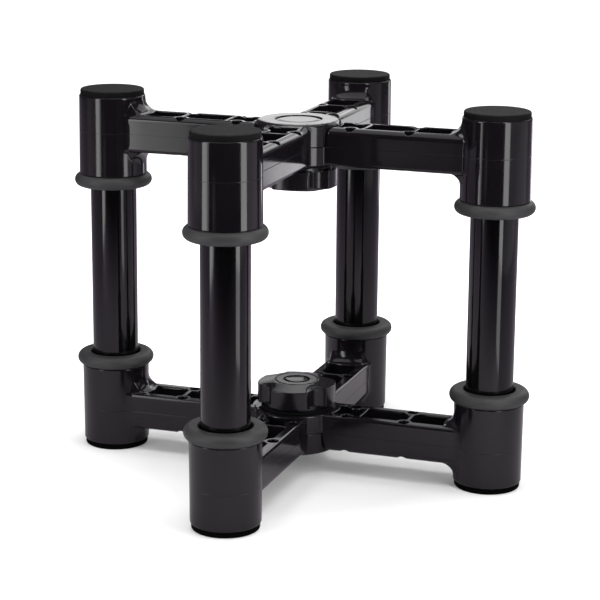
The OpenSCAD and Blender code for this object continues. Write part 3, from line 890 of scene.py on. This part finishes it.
def softbox(name, left, right, low, high, radiance):
    """An upright softbox between two points of the floor plan that faces the stand."""
    up = Vector((0, 0, 1))
    a, b = in_row(*left, 0), in_row(*right, 0)
    centre = (a + b) / 2 + up * (low + high) / 2 * MM
    side = (b - a).normalized()
    normal = side.cross(up)
    if normal.dot(Vector((centre.x, centre.y, 0))) < 0:
        normal, side = -normal, -side
    turn = Matrix((side, up, normal)).transposed().to_4x4()
    place = Matrix.Translation(centre) @ turn
    area_lamp(name, (b - a).length, (high - low) * MM, radiance, place)


# Each has its name, its two ends on the floor plan, its lower and upper height, and its radiance.
for card in (
    ("left softbox", (-510, -261), (-502, -425), 5, 620, 4.6),
    ("left softbox edge", (-502, -425), (-498, -500), 5, 620, 2.0),
    ("right softbox", (201, -309), (230, -210), 70, 620, 4.9),
    ("right low softbox", (201, -309), (230, -210), 5, 70, 2.6),
    ("left dim card", (-512, -252), (-520, 40), 75, 300, 0.2),
    ("left front dim card", (-520, -736), (-413, -790), 2, 45, 0.35),
    ("right dim card", (233, -203), (400, 60), 75, 300, 0.34),
    ("back softbox", (-105, 450), (62, 450), 240, 276, 1.5),
    ("middle back softbox", (-105, 450), (62, 450), 276, 330, 0.65),
    ("high back softbox", (-60, 450), (110, 450), 330, 400, 0.85),
    ("knob back softbox", (-60, 450), (65, 450), 400, 470, 1.6),
    ("overhead back card", (-60, 450), (65, 450), 470, 680, 1.9),
    ("low back softbox", (300, 455), (425, 455), 35, 180, 2.0),
    ("arm back softbox", (285, 455), (348, 455), 180, 350, 2.0),
    ("arm back card", (150, 455), (285, 455), 290, 350, 1.2),
    ("arm edge card", (62, 455), (150, 455), 285, 332, 1.3),
    ("knob card", (-60, 450), (24, 450), 160, 238, 1.1),
    ("low right card", (65, 450), (150, 450), 160, 225, 0.5),
    ("low left card", (-110, 450), (-40, 450), 100, 160, 1.3),
    ("far card", (200, 900), (520, 900), 500, 640, 1.3),
    ("far low card", (140, 900), (550, 900), 430, 500, 1.2),
    ("right back card", (350, 950), (950, 350), 460, 1100, 1.2),
):
    softbox(*card)

top_place = Matrix.Translation(in_row(20, -10, 700)) @ Matrix.Rotation(VIEW_TURN, 4, "Z")
top_softbox = area_lamp("top softbox", 0.7, 0.4, 5.5, top_place)
top_softbox.visible_glossy = False

# What is seen or mirrored past the floor is white. Its light on the stand is only a dim fill.
world = bpy.data.worlds.new("studio")
bpy.context.scene.world = world
sky = bare_tree(world)
light_path = add(sky, "ShaderNodeLightPath")
seen = add(
    sky, "ShaderNodeMath",
    {0: light_path.outputs["Is Camera Ray"], 1: light_path.outputs["Is Glossy Ray"]},
    operation="MAXIMUM",
)
seen_all = add(
    sky, "ShaderNodeMath", {0: seen.outputs[0], 1: light_path.outputs["Is Transmission Ray"]},
    operation="MAXIMUM",
)
fill_light = add(sky, "ShaderNodeBackground", {"Color": (1, 1, 1, 1), "Strength": 0.36})
white = add(sky, "ShaderNodeBackground", {"Color": (1, 1, 1, 1), "Strength": 1.0})
sky_mix = add(
    sky, "ShaderNodeMixShader",
    {0: seen_all.outputs[0], 1: fill_light.outputs[0], 2: white.outputs[0]},
)
add(sky, "ShaderNodeOutputWorld", {"Surface": sky_mix.outputs[0]})


def staged(name, points, faces, material):
    """A floor or screen of the studio, from points in metres."""
    mesh = bpy.data.meshes.new(name)
    mesh.from_pydata(points, [], faces)
    mesh.materials.append(material)
    thing = bpy.data.objects.new(name, mesh)
    bpy.context.scene.collection.objects.link(thing)
    return thing


# The floor glows for the camera until it is white away from the stand, which keeps its shadow near
# by. In what is glossy it takes a painted shade instead: a middle grey with a painted purple tint
# away from the stand, painted darker still in front, where the studio is unlit.
FLOOR_HALF_W = 6
floor_material = bpy.data.materials.new("white floor")
ground = bare_tree(floor_material)
ground_path = add(ground, "ShaderNodeLightPath")
ground_place = add(ground, "ShaderNodeTexCoord").outputs["Object"]
away_from_camera = tuple(in_row(0, 1000, 0))
from_stand = add(ground, "ShaderNodeVectorMath", {0: ground_place}, operation="LENGTH")
depth = add(
    ground, "ShaderNodeVectorMath", {0: ground_place, 1: away_from_camera},
    operation="DOT_PRODUCT",
)
spread = add(
    ground, "ShaderNodeMapRange",
    {0: from_stand.outputs["Value"], "From Min": 0.2, "From Max": 0.5},
)
# Painted reflection tint and painted shade: the tone that gloss mirrors from the floor, a little
# purple away from the stand and dark in front.
painted_reflection_tint = add(
    ground, "ShaderNodeMix",
    {0: spread.outputs[0], 6: (0.48, 0.45, 0.48, 1), 7: (0.46, 0.39, 0.5, 1)}, data_type="RGBA",
)
painted_front_shade = add(
    ground, "ShaderNodeMapRange",
    {0: depth.outputs["Value"], "From Min": -0.62, "From Max": -0.25, "To Min": 0.04},
)
mirrored = add(
    ground, "ShaderNodeVectorMath", {0: painted_reflection_tint.outputs[2], "Scale": painted_front_shade.outputs[0]},
    operation="SCALE",
)
tone = add(
    ground, "ShaderNodeMix",
    {0: ground_path.outputs["Is Glossy Ray"], 6: (0.85, 0.85, 0.85, 1), 7: mirrored.outputs[0]},
    data_type="RGBA",
)
paper = add(ground, "ShaderNodeBsdfDiffuse", {"Color": tone.outputs[2]})
lift = add(
    ground, "ShaderNodeMapRange",
    {0: from_stand.outputs["Value"], "From Min": 0.08, "From Max": 0.36, "To Min": 0.06},
)
lift_seen = add(
    ground, "ShaderNodeMath", {0: lift.outputs[0], 1: ground_path.outputs["Is Camera Ray"]},
    operation="MULTIPLY",
)
glow = add(ground, "ShaderNodeEmission", {"Strength": lift_seen.outputs[0]})
paper_seen = add(ground, "ShaderNodeAddShader", {0: paper.outputs[0], 1: glow.outputs[0]})
add(ground, "ShaderNodeOutputMaterial", {"Surface": paper_seen.outputs[0]})
near, far = -FLOOR_HALF_W, FLOOR_HALF_W
floor_corners = [(near, near, 0), (far, near, 0), (far, far, 0), (near, far, 0)]
staged("floor", floor_corners, [(0, 1, 2, 3)], floor_material)

# The screens stand in a ring round the set, and are a little lighter at the back.
SCREEN_SIDES, SCREEN_R, SCREEN_H = 96, 1.5, 2.0
screen_material = bpy.data.materials.new("dark screens")
cloth = bare_tree(screen_material)
cloth_place = add(cloth, "ShaderNodeTexCoord").outputs["Object"]
cloth_depth = add(
    cloth, "ShaderNodeVectorMath", {0: cloth_place, 1: away_from_camera},
    operation="DOT_PRODUCT",
)
cloth_fade = add(
    cloth, "ShaderNodeMapRange",
    {
        0: cloth_depth.outputs["Value"], "From Min": -1.3, "From Max": -0.4,
        "To Min": 0.02, "To Max": 0.08,
    },
)
cloth_light = add(
    cloth, "ShaderNodeEmission", {"Color": (1, 0.93, 1.04, 1), "Strength": cloth_fade.outputs[0]}
)
add(cloth, "ShaderNodeOutputMaterial", {"Surface": cloth_light.outputs[0]})
screen_points, screen_faces = [], []
for i in range(SCREEN_SIDES):
    a = 2 * math.pi * i / SCREEN_SIDES
    screen_points += [(SCREEN_R * math.cos(a), SCREEN_R * math.sin(a), z) for z in (0, SCREEN_H)]
    near, far = 2 * i, 2 * (i + 1) % (2 * SCREEN_SIDES)
    screen_faces.append((near, near + 1, far + 1, far))
screens = staged("dark screens", screen_points, screen_faces, screen_material)
screens.visible_camera = False
screens.visible_diffuse = False
screens.visible_shadow = False

bpy.context.scene.view_settings.view_transform = "Standard"
